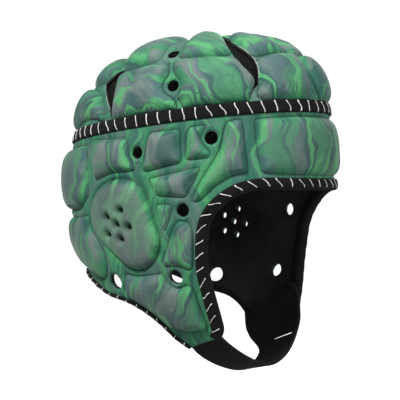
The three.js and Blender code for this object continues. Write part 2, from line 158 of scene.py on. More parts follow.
# A corner is cut by this share of its sides at most, and points inside the cloth keep this share of
# their gap clear of its lines, in rows this share of the gap apart
MOST_CUT = 0.3
CLEAR = 0.62
ROW_SHARE = 0.866
LINING_FACES = (-2.8, -4.4)
LINING_STEP = 3.2
# Cut as a disc for the crown and a long panel for the sides: both laid out together, in metres
CROWN_TOP = 4.4
SEAM_REACH = 124.5
SEAM_LENGTH = 560
ROLL = 1.6
# Rows down from the crown: reach over the surface, drop, half sizes front, back and side, the rise
# towards the face for each millimetre forward, and how boxy the section is
SECTIONS = np.array([
    [0, 0, 0, 0, 0, 0.11, 2],
    [25, 1.5, 25.5, 25.5, 24, 0.11, 2],
    [50, 7.5, 51, 51, 45, 0.11, 2],
    [75, 19, 76, 76, 61, 0.11, 2],
    [95, 34.5, 93, 93, 72, 0.11, 2],
    [122, 61, 102, 102, 78, 0.11, 2.05],
    [150, 89, 105, 107, 80, 0.07, 2.15],
    [180, 119, 106, 104, 80, 0.03, 2.25],
    [210, 149, 106, 96, 78, 0, 2.3],
    [240, 179, 104, 84, 72.5, 0, 2.3],
    [270, 209, 98, 72, 61, 0, 2.3],
    [300, 239, 88, 60, 44, 0, 2.3],
])
# Places on the head are [turn, reach]: degrees round from the face to the wearer's right, and the way
# down over the surface from the crown
FACE_EDGE = [
    [0, 176], [16, 176], [28, 175.5], [36, 177], [42, 180.5], [47, 186], [51, 193], [53.5, 202],
    [54.2, 214], [54, 228], [52.5, 240], [49.5, 255], [46.2, 269], [44.4, 277], [45.3, 282]]
NECK_EDGE = [
    [63, 290], [74, 282.5], [83, 273], [94, 263.5], [106, 256.5], [121, 252], [130, 247], [142, 240],
    [160, 234], [180, 231.5]]
# Vents as [turn, reach, radius]
CROWN_VENTS = [[76, 68, 4.5], [71, 102, 4.5]]
SIDE_VENTS = [[91, 147.3, 4.6], [51, 142, 5], [64.6, 189.7, 5], [69.3, 237.5, 5.3], [113, 242.3, 6.2]]
EAR_CENTRE = [103, 199]
VENT_POINTS = 24
EAR_HOLE_RADIUS = 2.5
EAR_HOLE_RING = 11
EAR_RING_HOLES = 5
EAR_HOLE_EASE = 0.4
LINING_EAR_POINTS = 14
EAR_PAD = [
    [102.5, 165], [93.5, 167.5], [87, 174.5], [83, 186.5], [80.5, 197], [77.3, 209], [78, 218],
    [81, 225], [87, 231.5], [94, 233], [100, 231.5], [107.5, 223.5], [115, 215], [121, 206],
    [123.5, 197], [123.3, 188], [121.5, 179.5], [116.5, 170.5], [109, 166]]
PAD_CORNER = 1.8
# The ear pad's outline shows through the lining as a low ridge
EAR_PRESS = 1.0
EAR_PRESS_WIDTH = 1.1
EAR_PRESS_STEP = 2.0
EAR_PRESS_RINGS = (-2.4, -1.2, 1.2, 2.4)

# One more row at each end, over the crown and past the last, keeps the curve smooth there
over_crown = np.array([-1, 1, -1, -1, -1, 1, 1])
KNOTS = np.vstack([SECTIONS[1] * over_crown, SECTIONS, 2 * SECTIONS[-1] - SECTIONS[-2]])


def curved(b, c, leave, arrive, t):
    """The share t of the way along a curve from b to c, with its slopes at both ends."""
    return (b * (2 * t**3 - 3 * t**2 + 1) + leave * (t**3 - 2 * t**2 + t)
            + c * (3 * t**2 - 2 * t**3) + arrive * (t**3 - t**2))


def unit(ways):
    return ways / np.linalg.norm(ways, axis=1)[:, None]


def section_at(reach):
    """The section at each reach, on a smooth curve through the rows."""
    i = np.clip(np.searchsorted(SECTIONS[:, 0], reach), 1, len(SECTIONS) - 1)
    a, b, c, d = (KNOTS[i + k] for k in (-1, 0, 1, 2))
    span = (c - b)[:, :1]
    t = (reach[:, None] - b[:, :1]) / span
    leave = span * (c - a) / (c - a)[:, :1]
    arrive = span * (d - b) / (d - b)[:, :1]
    return curved(b, c, leave, arrive, t)


def face_point(places):
    """Points of the outer face, in millimetres, from places [across, along] on the flat plan."""
    reach = np.maximum(np.hypot(places[:, 0], places[:, 1]), 1e-6)
    across, along = (places / reach[:, None]).T
    _, drop, front, back, side, tilt, square = section_at(reach).T
    half = np.where(along < 0, front, back)
    size = (np.abs(across / side) ** square + np.abs(along / half) ** square) ** (-1 / square)
    y = size * along
    return np.column_stack([size * across, y, CROWN_TOP - drop - tilt * y])


def face_frame(places):
    """How the outer face runs across and along the plan, and its normal."""
    step = np.array([[0.5, 0], [0, 0.5]])
    u, v = (face_point(places + way) - face_point(places - way) for way in step)
    return u, v, unit(np.cross(u, v))


def on_head(places, lift):
    """Points at a height above the outer face, in metres."""
    height = np.broadcast_to(lift, len(places))[:, None]
    return (face_point(places) + face_frame(places)[2] * height) * MM


def stepped(places, step):
    """Places a short step over the outer face away, for steps in millimetres."""
    u, v, _ = face_frame(places)
    pairs = ((u, u), (v, v), (u, v), (u, step), (v, step))
    uu, vv, uv, us, vs = ((a * b).sum(1) for a, b in pairs)
    stretch = uu * vv - uv**2
    return places + np.column_stack([(us * vv - vs * uv) / stretch, (vs * uu - us * uv) / stretch])


def plan(rows):
    """Places on the flat plan, spread round the crown, from rows [turn, reach]."""
    turn, reach = np.asarray(rows, float).T
    return np.column_stack([-reach * np.sin(np.radians(turn)), -reach * np.cos(np.radians(turn))])


def rolled(rows):
    """Places rolled out flat as [way round, reach], for the sides."""
    return np.asarray(rows, float) * [ROLL, 1]


def unrolled(flat):
    """The sides' flat taken back to the plan."""
    return plan(flat / [ROLL, 1])


def roll_again(places):
    """Places on the plan taken to the sides' flat."""
    turn = np.degrees(np.arctan2(-places[:, 0], -places[:, 1]))
    return rolled(np.column_stack([turn, np.hypot(places[:, 0], places[:, 1])]))


def unchanged(flat):
    return flat


# The two flats that cloth is cut in: how rows get there, how it goes to the plan, and the way back
Flat = namedtuple("Flat", "laid to_plan back")
CROWN_FLAT = Flat(plan, unchanged, unchanged)
SIDE_FLAT = Flat(rolled, unrolled, roll_again)


def crown_face(flat):
    return on_head(flat, 0)


def side_face(flat):
    return on_head(unrolled(flat), 0)


def through(rows):
    """A smooth line through rows."""
    rows = np.asarray(rows, float)
    ends = np.vstack([rows[:1], rows, rows[-1:]])
    t = np.linspace(0, 1, CURVE_PARTS, endpoint=False)[:, None]
    parts = []
    for a, b, c, d in zip(ends, ends[1:], ends[2:], ends[3:]):
        parts.append(0.5 * (2 * b + (c - a) * t + (2 * a - 5 * b + 4 * c - d) * t**2
                            + (3 * b - a - 3 * c + d) * t**3))
    return np.vstack([*parts, rows[-1:]])


def spaced(line, to_plan, step, closed=False):
    """Points of a flat line set a step apart over the head."""
    line = np.vstack([line, line[:1]]) if closed else np.asarray(line, float)
    share = np.linspace(0, 1, STRETCH_PARTS, endpoint=False)[:, None]
    fine = np.vstack([a + (b - a) * share for a, b in zip(line, line[1:])] + [line[-1:]])
    steps = np.linalg.norm(np.diff(on_head(to_plan(fine), 0), axis=0), axis=1)
    run = np.concatenate([[0], np.cumsum(steps)])
    marks = np.linspace(0, run[-1], max(int(round(run[-1] / step / MM)), 4) + 1)
    result = np.column_stack([np.interp(marks, run, fine[:, k]) for k in (0, 1)])
    return result[:-1] if closed else result


def inside(loop, points):
    """Which points lie inside a closed flat loop."""
    found = np.zeros(len(points), bool)
    x, y = points.T
    for (ax, ay), (bx, by) in zip(loop, np.roll(loop, -1, 0)):
        if ay != by:
            crossed = (ay > y) != (by > y)
            found ^= crossed & (x < ax + (bx - ax) * (y - ay) / (by - ay))
    return found


def round_hole(row, radius, count, flat):
    """A round hole's edge on the head, as a flat loop."""
    place = np.repeat(flat.to_plan(flat.laid([row])), count, 0)
    u, _, normal = face_frame(place)
    down = np.cross(normal, np.cross([0, 0, -1], normal))
    level = np.linalg.norm(down, axis=1)[:, None]
    first = unit(np.where(level > 0.2, down, u))
    turn = np.linspace(0, 2 * np.pi, count, endpoint=False)[:, None]
    step = radius * (np.cos(turn) * first + np.sin(turn) * np.cross(normal, first))
    return flat.back(stepped(place, step))


def punched(vents, flat):
    """The edges of round vents from rows [turn, reach, radius]."""
    return [round_hole(row, radius, VENT_POINTS, flat) for *row, radius in vents]


def both_sides(loops):
    """Loops, then their mirror images on the other side."""
    return [*loops, *[loop[::-1] * [-1, 1] for loop in loops]]


def dots(loop, gap):
    """Points of a flat honeycomb over a loop's box."""
    low, high = loop.min(0), loop.max(0)
    across = np.arange(0, max(-low[0], high[0]) + gap, gap)
    rows = np.arange(low[1], high[1], gap * ROW_SHARE)
    shifted = [np.column_stack([across + gap * 0.5 * (i % 2), np.full(len(across), row)])
               for i, row in enumerate(rows)]
    half = np.vstack(shifted)
    return np.vstack([half, half[half[:, 0] > 0] * [-1, 1]])


def rounded(loop, reach):
    """A flat loop with its corners cut round, none by more than the reach."""
    for share in (1, 0.5, 0.25):
        before = np.roll(loop, 1, 0) - loop
        after = np.roll(loop, -1, 0) - loop
        cut = []
        for point, back, on in zip(loop, before, after):
            for way in (back, on):
                length = np.linalg.norm(way)
                cut.append(point + way * min(reach * share / length, MOST_CUT))
        loop = np.array(cut)
    return loop


def cut_line(rows, flat, corner, step):
    """A closed outline from rows, rounded, spaced and running with its inside on the left."""
    loop = spaced(rounded(flat.laid(rows), corner), flat.to_plan, step, closed=True)
    x, y = loop.T
    area = (x * np.roll(y, -1) - y * np.roll(x, -1)).sum()
    return loop if area > 0 else loop[::-1]


def set_in(loop, depth, flat):
    """Points the depth inside a loop, or outside it below nought, less those that crowd a corner."""
    places = flat.to_plan(loop)
    points = face_point(places)
    along = np.roll(points, -1, 0) - np.roll(points, 1, 0)
    inward = np.cross(face_frame(places)[2], along)
    inward *= depth / np.linalg.norm(inward, axis=1)[:, None]
    moved = stepped(places, inward)
    gaps = np.linalg.norm(face_point(moved)[:, None] - points[None], axis=2).min(1)
    return flat.back(moved)[gaps > 0.95 * abs(depth)]


def finder(points):
    """A tree that finds the nearest of many points."""
    tree = kdtree.KDTree(len(points))
    for number, point in enumerate(points):
        tree.insert(point, number)
    tree.balance()
    return tree


def depth_from(loop, places, flat):
    """How far places lie from a loop, in millimetres over the head."""
    fine = finder(face_point(flat.to_plan(spaced(loop, flat.to_plan, OUTLINE_STEP, closed=True))))
    return np.array([fine.find(point)[2] for point in face_point(flat.to_plan(places))])


def cut_cloth(formed, edge, holes, lines, extra, gap):
    """Cloth cut along its edge and holes and creased along lines: flat points and triangles."""
    edges, points, count = [], [], 0
    for loop in [edge, *holes, *lines]:
        numbers = np.arange(len(loop)) + count
        edges += [(int(a), int(b)) for a, b in zip(numbers, np.roll(numbers, -1))]
        points.append(loop)
        count += len(loop)
    points += extra
    fixed = np.vstack(points)
    nearest = finder(formed(fixed))
    filling = dots(edge, gap)
    filling = filling[inside(edge, filling)]
    clear = CLEAR * gap * MM
    far = [nearest.find(point)[2] > clear for point in formed(filling)]
    everything = np.vstack([fixed, filling[np.array(far)]])
    made = geometry.delaunay_2d_cdt([Vector(p) for p in everything], edges, [], 0, 1e-5)
    places = np.array([tuple(p) for p in made[0]])
    faces = np.array(made[2])
    middle = places[faces].mean(1)
    kept = inside(edge, middle)
    for hole in holes:
        kept &= ~inside(hole, middle)
    return places, faces[kept]


def cloth_wall(bm, flat_places, faces, outside, inner, worn=None):
    """A wall of cloth between two sets of points, closed round its edge and holes."""
    marks = bm.verts.layers.float_vector
    flat_mark = marks.get("flat") or marks.new("flat")
    worn_mark = marks.get("worn") or marks.new("worn")
    worn = np.zeros((len(flat_places), 3)) if worn is None else worn
    start = len(bm.verts)
    for point, place, tone in zip(outside, flat_places, worn):
        vert = bm.verts.new(point)
        vert[flat_mark] = (place[0], place[1], 0)
        vert[worn_mark] = tone
    bm.verts.ensure_lookup_table()
    outer = [bm.faces.new([bm.verts[start + int(k)] for k in face]) for face in faces]
    numbers = {vert: number for number, vert in enumerate(bm.verts[start:])}
    used = {vert: None for face in outer for vert in face.verts}
    bmesh.ops.delete(bm, geom=[v for v in bm.verts[start:] if v not in used], context="VERTS")
    rim = [edge for face in outer for edge in face.edges if len(edge.link_faces) == 1]
    rim_ends = [(loop.vert, loop.link_loop_next.vert) for edge in rim for loop in edge.link_loops]
    copied = bmesh.ops.duplicate(bm, geom=[*used, *outer])
    twin = copied["vert_map"]
    inner_faces = [part for part in copied["geom"] if isinstance(part, bmesh.types.BMFace)]
    for vert in used:
        twin[vert].co = inner[numbers[vert]]
    bmesh.ops.reverse_faces(bm, faces=inner_faces)
    sides = []
    for first, second in rim_ends:
        sides.append(bm.faces.new((second, first, twin[first], twin[second])))
    return outer, sides


def lay_cloth_map(bm):
    """The cloth's own map: its flat, in tenths of a metre."""
    flat_mark = bm.verts.layers.float_vector["flat"]
    cloth_map = bm.loops.layers.uv.new("cloth")
    for face in bm.faces:
        for loop in face.loops:
            loop[cloth_map].uv = (loop.vert[flat_mark].x / CLOTH_MAP, loop.vert[flat_mark].y / CLOTH_MAP)


def product(tree, first, second):
    """One value times another."""
    return node(tree, "ShaderNodeMath", first, second, operation="MULTIPLY").outputs[0]


def cloud(tree, place, scale, detail=2.0, rough=0.5):
    """Soft noise as a value about a half."""
    return node(tree, "ShaderNodeTexNoise", Vector=place, Scale=scale, Detail=detail,
                Roughness=rough).outputs["Fac"]


def raised(tree, height, strength, distance, **under):
    """The normal of a surface raised by a height, over another normal where one is given."""
    return node(tree, "ShaderNodeBump", Height=height, Strength=strength, Distance=distance,
                **under).outputs["Normal"]


def mixed(tree, share, under, over):
    """One colour over another by a share, where a colour is a tuple or a socket."""
    made = node(tree, "ShaderNodeMix", data_type="RGBA", Factor=share)
    for name, colour in (("A", under), ("B", over)):
        socket = next(s for s in made.inputs if s.name == name and s.type == "RGBA")
        if isinstance(colour, bpy.types.NodeSocket):
            tree.links.new(colour, socket)
        else:
            socket.default_value = (*colour, 1)
    return next(s for s in made.outputs if s.type == "RGBA")


def effect(name, inputs, outputs):
    """A new node group with named sockets, and the sockets that bring its inputs in."""
    made = bpy.data.node_groups.new(name, "ShaderNodeTree")
    for way, sockets in (("INPUT", inputs), ("OUTPUT", outputs)):
        for socket, kind in sockets.items():
            made.interface.new_socket(socket, in_out=way, socket_type=f"NodeSocket{kind}")
    return made, node(made, "NodeGroupInput").outputs


# Knit: rows of small loops across and along the cloth, for every fabric here
knit, knit_in = effect("knit", {"Place": "Vector", "Rows": "Float"}, {"Height": "Float"})
waves = []
for way in ("X", "Y"):
    wave = node(knit, "ShaderNodeTexWave", wave_type="BANDS", bands_direction=way, Distortion=0.6,
                Detail=1.0, Vector=knit_in["Place"], Scale=knit_in["Rows"])
    waves.append(wave.outputs["Fac"])
node(knit, "NodeGroupOutput", Height=product(knit, *waves))

# Black yarn: a little greyer in blotches, with a fuzz of loose fibres, for every black cloth
yarn, yarn_in = effect("black yarn", {"Place": "Vector", "Blotches": "Float", "Dark": "Color",
                                      "Light": "Color"}, {"Color": "Color", "Fuzz": "Float"})
blotches = cloud(yarn, yarn_in["Place"], yarn_in["Blotches"], detail=6.0, rough=0.65)
yarn_colour = mixed(yarn, spread(yarn, blotches, 0.3, 0.72), yarn_in["Dark"], yarn_in["Light"])
fuzz = cloud(yarn, yarn_in["Place"], 1400.0, detail=3.0)
node(yarn, "NodeGroupOutput", Color=yarn_colour, Fuzz=fuzz)


def black_cloth(name, dark, light, rough, rows, blotch, depth):
    """A matt black knit, with its rows raised."""
    material, tree, shader = painted(name)
    place = node(tree, "ShaderNodeTexCoord").outputs["Object"]
    spun = node(tree, "ShaderNodeGroup", node_tree=yarn, Place=place, Blotches=blotch,
                Dark=(*dark, 1), Light=(*light, 1))
    cloth_map = node(tree, "ShaderNodeUVMap", uv_map="cloth").outputs["UV"]
    loops = node(tree, "ShaderNodeGroup", node_tree=knit, Place=cloth_map, Rows=rows)
    normal = raised(tree, loops.outputs["Height"], depth, 0.0006)
    normal = raised(tree, spun.outputs["Fuzz"], 0.4, 0.0004, Normal=normal)
    settle(shader, Base_Color=spun.outputs["Color"], Normal=normal, Roughness=rough,
           Specular_IOR_Level=0.12, Sheen_Weight=0.04, Sheen_Roughness=0.5)
    return material


face_edge = through(FACE_EDGE)
neck_edge = through(NECK_EDGE)
ear_turns = 2 * np.pi * np.arange(EAR_RING_HOLES) / EAR_RING_HOLES
ear_middle = np.repeat(plan([EAR_CENTRE]), EAR_RING_HOLES, 0)
ear_normal = face_frame(ear_middle)[2]
ear_down = unit(np.cross(ear_normal, np.cross([0, 0, -1], ear_normal)))
ear_front = np.cross(ear_normal, ear_down)
ear_step = np.cos(ear_turns)[:, None] * ear_front + np.sin(ear_turns)[:, None] * ear_down
ear_places = np.vstack([ear_middle[:1], stepped(ear_middle, EAR_HOLE_RING * ear_step)])
ear_rows = roll_again(ear_places) / [ROLL, 1]


def side_edge(step, seam_gap=0.0):
    """The sides' flat edge: down the nape, round the neck and face edges, and along the seam."""
    neck = spaced(rolled(neck_edge), unrolled, step)
    tip = spaced(rolled([face_edge[-1], neck_edge[0]]), unrolled, step)[1:-1]
    face = spaced(rolled(face_edge), unrolled, step)
    low = np.vstack([face, tip, neck])
    top = SEAM_REACH + seam_gap
    nape_count = int((low[-1, 1] - top) / step)
    nape_reach = np.linspace(low[-1, 1], top, nape_count + 1)
    nape = np.column_stack([np.full(nape_count + 1, 180 * ROLL), nape_reach])
    seam_count = int(SEAM_LENGTH / step / 2)
    seam_turn = np.linspace(180, 0, seam_count + 1)
    seam = rolled(np.column_stack([seam_turn, np.full(seam_count + 1, top)]))
    half = np.vstack([low, nape[1:-1], seam])
    return np.vstack([half, half[1:-1][::-1] * [-1, 1]])[::-1]


def crown_edge(step, seam_gap=0.0):
    """The crown's flat edge, just above the seam."""
    count = 2 * int(SEAM_LENGTH / step / 2)
    turns = 360 * np.arange(count) / count
    return plan(np.column_stack([turns, np.full(count, SEAM_REACH - seam_gap)]))[::-1]


lining_cloth = black_cloth("lining cloth", (0.02, 0.02, 0.0205), (0.042, 0.042, 0.043),
                           rough=0.9, rows=40.0, blotch=30.0, depth=0.5)
backing_cloth = black_cloth("backing cloth", (0.002, 0.002, 0.0022), (0.004, 0.004, 0.0042),
                            rough=0.95, rows=40.0, blotch=30.0, depth=0.4)
ear_lines = both_sides([cut_line(EAR_PAD, SIDE_FLAT, PAD_CORNER, EAR_PRESS_STEP)])
ear_rings = [set_in(line, depth, SIDE_FLAT) for line in ear_lines for depth in EAR_PRESS_RINGS]
crown_vents = both_sides(punched(CROWN_VENTS, CROWN_FLAT))
side_holes = punched(SIDE_VENTS, SIDE_FLAT)
for ear_row in ear_rows:
    side_holes.append(round_hole(ear_row, EAR_HOLE_RADIUS + EAR_HOLE_EASE, LINING_EAR_POINTS, SIDE_FLAT))
bm = bmesh.new()
for flat, formed, edge, holes, lines, rings in (
        (CROWN_FLAT, crown_face, crown_edge(LINING_STEP), crown_vents, [], []),
        (SIDE_FLAT, side_face, side_edge(LINING_STEP), both_sides(side_holes), ear_lines, ear_rings)):
    places, faces = cut_cloth(formed, edge, holes, lines, rings, LINING_STEP)
    inner_lift = np.full(len(places), LINING_FACES[1])
    for line in lines:
        inner_lift -= EAR_PRESS * np.exp(-((depth_from(line, places, flat) / EAR_PRESS_WIDTH) ** 2))
    on_plan = flat.to_plan(places)
    outside, inner = on_head(on_plan, LINING_FACES[0]), on_head(on_plan, inner_lift)
    outer, _ = cloth_wall(bm, places, faces, outside, inner)
    for face in outer:
        face.material_index = 1
bmesh.ops.remove_doubles(bm, verts=bm.verts, dist=2e-5)
lay_cloth_map(bm)
lining = piece("lining.cloth", bm, [lining_cloth, backing_cloth])
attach(lining, "root")
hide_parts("lining")


# The crown cover: foam pads moulded under green printed cloth, one round panel glued over the lining.
# Creases run round each pad, and four long slits and four vents are cut through it.
COVER_STEP = 1.5
COVER_GAP = 2.3
COVER_BACK = -2.1
SEAM_GAP = 0.3
PAD_ROUND = 2.9
PAD_RISE = 2.0
PAD_RISE_REACH = 9
PAD_RINGS = (0.35, 0.8, 1.4, 2.2, 3.3, 4.8, -0.4, -0.9)
HOLE_RINGS = (0.5, 1.1, 1.9, 2.5, 3.0)
SLIT_RINGS = (0.45, 0.9, 2.0)
PAD_MARGIN = 3
FOOT = 0.9
FOOT_REACH = 1.2
ON_CREASE = 0.03
CREASE_REACH = 0.9
SHEEN_WEAR_REACH = 5
# Low ground round a pad: how far it is lowered, and how dark its painted shade is
MOAT_DEPTH = 0.9
MOAT_CREASE = 0.66
DENTS = 0.45
DENT_SCALE = 75
SMALL_DENT_SCALE = 170
# How far from a hole its cloth starts to bend down, and the height at its edge
CROWN_VENT_DIP = (2.6, -1.0)
FRONT_SLIT_DIP = (2.5, 0.6)
REAR_SLIT_DIP = (7.0, 0.2)
SLIT_CORNER = 1.2
SLITS = {
    "front": [
        [33, 114], [29.2, 109], [28.3, 103], [27.6, 95], [27.4, 87], [28.8, 79], [31, 70], [32, 60],
        [29, 45], [19.5, 27], [34, 46], [37.2, 60], [38, 71], [37.2, 83], [34.6, 93], [32, 99],
        [30.4, 103.5], [30.6, 109]],
    "rear": [
        [110.5, 121], [113.2, 111], [117, 104.5], [122, 95.5], [126.5, 89], [121.5, 79.5], [114, 79],
        [112, 84], [113.5, 88], [111.8, 95], [111, 103]],
}
# The rows of each slit whose raw cut edge shows pale
PALE_ROWS = {"front": (2, 10), "rear": (1, 5)}
PALE_WIDTH = 0.3
CROWN_PADS = {
    "crown_front_low": [
        [28.6, 110], [28.8, 103], [28.4, 95], [27.6, 88.5], [23.5, 85.5], [12, 81], [2.2, 83], [2, 112],
        [4, 120.6], [16, 120.6], [27, 120.6], [30.5, 116.5]],
    "crown_front_top": [
        [29.5, 79], [31.7, 70], [32.2, 60], [27.5, 46], [18, 34], [8, 31], [2.5, 40], [2.2, 81.2],
        [12, 79.2], [22, 83], [26.5, 84]],
    "crown_side_front": [
        [73, 78], [60, 80], [47.5, 81], [40.5, 82.5], [35.3, 84], [32.8, 92.5], [30.6, 99.5], [30, 106],
        [32, 112.5], [34, 120.6], [48, 120.6], [64.5, 120.6], [65.5, 116], [68.2, 111], [66.6, 107],
        [66.2, 102], [67.4, 97.5], [70.5, 93.5], [72.3, 86]],
    "crown_side_rear": [
        [114, 83.5], [102.5, 81], [91.5, 80], [82.5, 78.3], [76.5, 77.5], [75.2, 86], [74, 93],
        [76.5, 96.5], [77.6, 101], [76.6, 105.5], [74, 108.8], [71, 110.8], [68.8, 114], [67.5, 120.6],
        [80, 120.6], [95, 120.6], [110, 120.6], [112, 113], [112.3, 103], [113.2, 95], [114.8, 88]],
    "crown_top_front": [
        [70, 76.5], [60, 78], [47.5, 79], [40, 80.5], [37, 78], [36.5, 71], [35.8, 60], [32.8, 47],
        [29, 36], [26, 26], [24, 12], [55, 9], [67.5, 22], [68, 40], [68.5, 53.5], [69, 64]],
    "crown_top_rear": [
        [113.3, 81], [102.5, 79.4], [91.5, 78.2], [86, 76.3], [84.2, 72], [85.5, 62], [87, 48], [90, 24],
        [105, 9], [140, 9], [168, 20], [173, 46.5], [150, 49], [132, 57], [121.5, 69], [116.5, 78]],
    "crown_rear_low": [
        [116.5, 120.6], [118.5, 110.5], [124.5, 99], [140, 90], [160, 88.8], [178, 88.8], [178, 120.6],
        [150, 120.6]],
    "crown_rear_top": [
        [122.5, 81], [124.5, 70.5], [133, 61], [138, 58.5], [155, 52.5], [176.5, 50], [177.5, 70],
        [178, 86.2], [160, 86.2], [140, 87.5], [128, 88]],
}
# Height of a pad, how grey its top is painted from nought to one, partly wear of the print and partly a
# painted sheen, and the width of low ground round it
CROWN_PAD_LOOKS = {"other": (4.2, 0.6, 0), "crown_side_front": (4.0, 0.6, 0)}


def pad_lift(deep, height):
    """A pad's lift at a depth in from its outline: steep at the crease, then a slow pillowed rise."""
    wall = (height + FOOT) * (1 - np.exp(-deep / PAD_ROUND)) - FOOT
    return wall + PAD_RISE * (1 - np.exp(-deep / PAD_RISE_REACH))


def cover(flat, edge, pads, looks, holes, slits):
    """A printed panel: its flat points and triangles, how high its cloth stands, and its marks of painted
    crease shade and of the painted sheen and wear of the pad tops.
    """
    lines = [cut_line(rows, flat, PAD_CORNER, COVER_STEP) for rows in pads.values()]
    in_middle = [line[:, 0].min() < 0 < line[:, 0].max() for line in lines]
    all_lines = [line for line, middle in zip(lines, in_middle) if middle]
    all_lines += both_sides([line for line, middle in zip(lines, in_middle) if not middle])
    rings = [set_in(line, depth, flat) for line in all_lines for depth in PAD_RINGS]
    rings += [set_in(hole[::-1], -depth, flat) for hole in holes for depth in HOLE_RINGS]
    rings += [set_in(slit, -depth, flat) for slit in slits for depth in SLIT_RINGS]
    formed = crown_face if flat is CROWN_FLAT else side_face
    places, faces = cut_cloth(formed, edge, [*holes, *slits], all_lines, rings, COVER_GAP)
    across = np.abs(places[:, 0])
    across[across < 1e-9] = 0
    folded = np.column_stack([-across if flat is CROWN_FLAT else across, places[:, 1]])
    lift, worn = np.zeros(len(places)), np.zeros((len(places), 3))
    for name, line in zip(pads, lines):
        height, tone, moat_width = looks.get(name, looks["other"])
        low, high = line.min(0) - PAD_MARGIN, line.max(0) + PAD_MARGIN
        box = (folded > low).all(1) & (folded < high).all(1)
        near = np.nonzero(box)[0]
        deep = depth_from(line, folded[near], flat)
        held = inside(line, folded[near])
        risen = np.where(held, pad_lift(deep, height), -FOOT * np.clip(1 - deep / FOOT_REACH, 0, 1))
        risen[deep < ON_CREASE] = -FOOT
        lowered = np.minimum(risen, lift[near])
        lift[near] = np.select([held, deep < FOOT_REACH], [risen, lowered], lift[near])
        # The crease round each pad is marked for painted shade, full at the outline and fading a short
        # reach either side
        worn[near, 0] = np.maximum(worn[near, 0], np.clip(1 - deep / CREASE_REACH, 0, 1))
        # Low ground round a pad is lowered, and marked for painted shade
        if moat_width:
            moat = np.clip(1 - deep / moat_width, 0, 1) * ~held
            lift[near] -= MOAT_DEPTH * moat
            worn[near, 0] = np.maximum(worn[near, 0], MOAT_CREASE * moat)
        # Pad tops are painted greyer inwards from the crease, partly wear of the print and partly a painted
        # sheen highlight
        pad_sheen_and_wear = np.where(held, tone * np.clip(deep / SHEEN_WEAR_REACH, 0, 1), 0)
        worn[near, 1] = np.maximum(worn[near, 1], pad_sheen_and_wear)
    dents = []
    for point in formed(places):
        small = 0.5 * noise.noise(Vector(point) * SMALL_DENT_SCALE)
        dents.append(noise.noise(Vector(point) * DENT_SCALE) + small)
    return places, faces, lift + DENTS * worn[:, 1] * dents, worn


def hole_dip(flat, places, lift, holes, reach, edge_lift):
    """The cloth bent down into holes, to a given height at their edges."""
    for hole in holes:
        low, high = hole.min(0) - 2 * reach, hole.max(0) + 2 * reach
        near = np.nonzero(((places > low) & (places < high)).all(1))[0]
        out = np.clip(depth_from(hole, places[near], flat) / reach, 0, 1)
        share = np.sqrt(1 - (1 - out) ** 2)
        lift[near] = edge_lift + (lift[near] - edge_lift) * share
    return lift


GREY = (0.16, 0.211, 0.2)
SLATE = (0.064, 0.142, 0.145)
TEAL = (0.018, 0.1, 0.084)
GREEN = (0.05, 0.262, 0.122)
LIME = (0.092, 0.43, 0.15)
# CREASE is the painted shade laid in the creases round pads and collars, and between the knit's loops
CREASE = (0.006, 0.028, 0.021)
CUT_EDGE = (0.6, 0.66, 0.6)
SHEEN_GREY = (0.164, 0.2, 0.187)
GROOVE = (0.028, 0.2, 0.112)
# Fine gathers in the cloth, in one turn round the crown
GATHERS = 150.0
# Dye laid over slate, from the first layer up: colour, shift, turn, ribbons to a tenth of a metre
# across and along, detail, where it starts and where it is full, and its share there
DYES = [
    (GREY, 3.1, 0.2, 9, 2.5, 1.5, 0.4, 0.62, 1.0),
    (TEAL, 7.7, -0.3, 8, 2.0, 1.5, 0.48, 0.62, 1.0),
    (GREEN, 1.3, 0.1, 8.5, 1.6, 1.5, 0.52, 0.6, 1.0),
    (LIME, 1.3, 0.1, 8.5, 1.6, 1.5, 0.58, 0.7, 0.8),
    (GREEN, 5.9, 0.4, 11, 1.8, 1.5, 0.57, 0.64, 1.0),
    (TEAL, 2.2, -0.2, 30, 4, 3.0, 0.48, 0.72, 0.5),
    (LIME, 9.1, 0.15, 17, 2.2, 2.0, 0.575, 0.635, 0.9),
]

printed_cloth, tree, shader = painted("printed cloth")
place = node(tree, "ShaderNodeTexCoord").outputs["Object"]
cloth_map = node(tree, "ShaderNodeUVMap", uv_map="cloth").outputs["UV"]


def ramp(value, low, high, top=1.0):
    """A soft step from nought at low to the top at high."""
    return spread(tree, value, low, high, top=top, kind="SMOOTHSTEP")


# The print: dye drawn out in long wavy ribbons, green over slate and grey, with teal between
sway = node(tree, "ShaderNodeTexNoise", Vector=cloth_map, Scale=3.2, Detail=2.0, Roughness=0.4)
sway_step = node(tree, "ShaderNodeVectorMath", sway.outputs["Color"], operation="SCALE", Scale=0.45)
bent = node(tree, "ShaderNodeVectorMath", cloth_map, sway_step.outputs["Vector"], operation="ADD")


def ribbons(shift, turn, across, along, detail):
    """Soft ribbons of dye, so many to a tenth of a metre across and along, as a value about a half."""
    turned = node(tree, "ShaderNodeMapping", Vector=bent.outputs["Vector"], Location=(shift, shift, 0),
                  Rotation=(0, 0, turn), Scale=(across, along, 1))
    return cloud(tree, turned.outputs["Vector"], 1.0, detail, rough=0.45)


loops = node(tree, "ShaderNodeGroup", node_tree=knit, Rows=22.0, Place=cloth_map).outputs["Height"]
# Its marks: painted crease shade, the painted sheen and wear of the pad tops, and pale cut edges
worn_mark = node(tree, "ShaderNodeAttribute", attribute_name="worn")
worn_parts = node(tree, "ShaderNodeSeparateXYZ", Vector=worn_mark.outputs["Vector"])
creased, sheen_and_wear, cut_raw = (worn_parts.outputs[part] for part in "XYZ")

